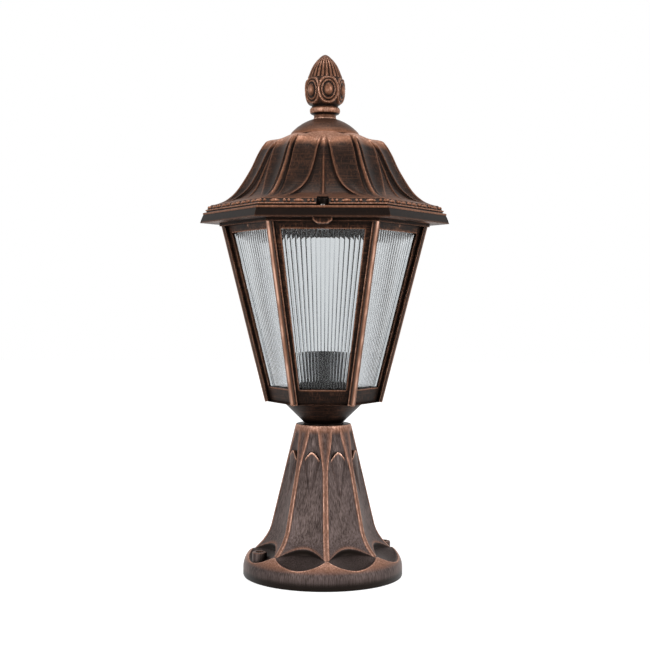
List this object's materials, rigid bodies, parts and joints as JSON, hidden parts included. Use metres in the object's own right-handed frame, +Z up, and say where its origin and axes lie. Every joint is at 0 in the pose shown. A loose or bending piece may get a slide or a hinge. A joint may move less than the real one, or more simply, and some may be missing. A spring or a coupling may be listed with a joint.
{
  "type": "garden lantern",
  "caption": "Six-sided garden lantern on a flared pedestal: cast frame with ribbed glass panes, lampholder, and a petalled bell roof that is hinged for changing the lamp.",
  "frame": {"origin": "middle of the underside of the pedestal's foot", "axes": "+Z up along the lantern's axis, -Y to the front where the lock screw is, +X to the right"},
  "size_m": [0.239, 0.218, 0.5],
  "materials": {
    "antique_copper": "dark brown paint with copper brushed over the edges",
    "ribbed_glass": "clear, ribbed",
    "steel": "zinc plated",
    "dark_steel": "blackened",
    "black_plastic": "satin",
    "white_ceramic": "satin",
    "white_plastic": "satin",
    "brass": "bright"
  },
  "bodies": {
    "lantern": {"pedestal": "antique_copper", "lantern_frame": "antique_copper", "glass_pane_1": "ribbed_glass", "glass_pane_2": "ribbed_glass", "glass_pane_3": "ribbed_glass", "glass_pane_4": "ribbed_glass", "glass_pane_5": "ribbed_glass", "glass_pane_6": "ribbed_glass", "pane_clips": "steel", "pane_clip_screws": "steel", "hinge_pin": "steel", "lower_washer": "steel", "lower_nut": "steel", "upper_washer": "steel", "upper_nut": "steel", "threaded_tube": "steel", "holder_cap": "black_plastic", "holder_skirt": "black_plastic", "holder_insert": "white_ceramic", "screw_shell": "brass", "centre_contact": "brass", "terminal_block": "white_plastic", "clamp_screws": "brass", "terminal_screw": "steel", "earth_washer": "brass", "earth_screw": "brass"},
    "roof": {"roof": "antique_copper", "finial": "antique_copper", "finial_stud": "steel", "finial_washer": "steel", "finial_nut": "steel"},
    "lock_screw": {"lock_screw": "dark_steel"}
  },
  "joints": [
    {"name": "roof_hinge", "type": "hinge", "parent": "lantern", "child": "roof", "pos_m": [0, 0.11, 0.338], "axis": [-1, 0, 0], "range_deg": [0, 100]},
    {"name": "lock_screw_lift", "type": "slide", "parent": "roof", "child": "lock_screw", "axis": [0, 0, 1], "range_m": [0, 0.01]}
  ]
}
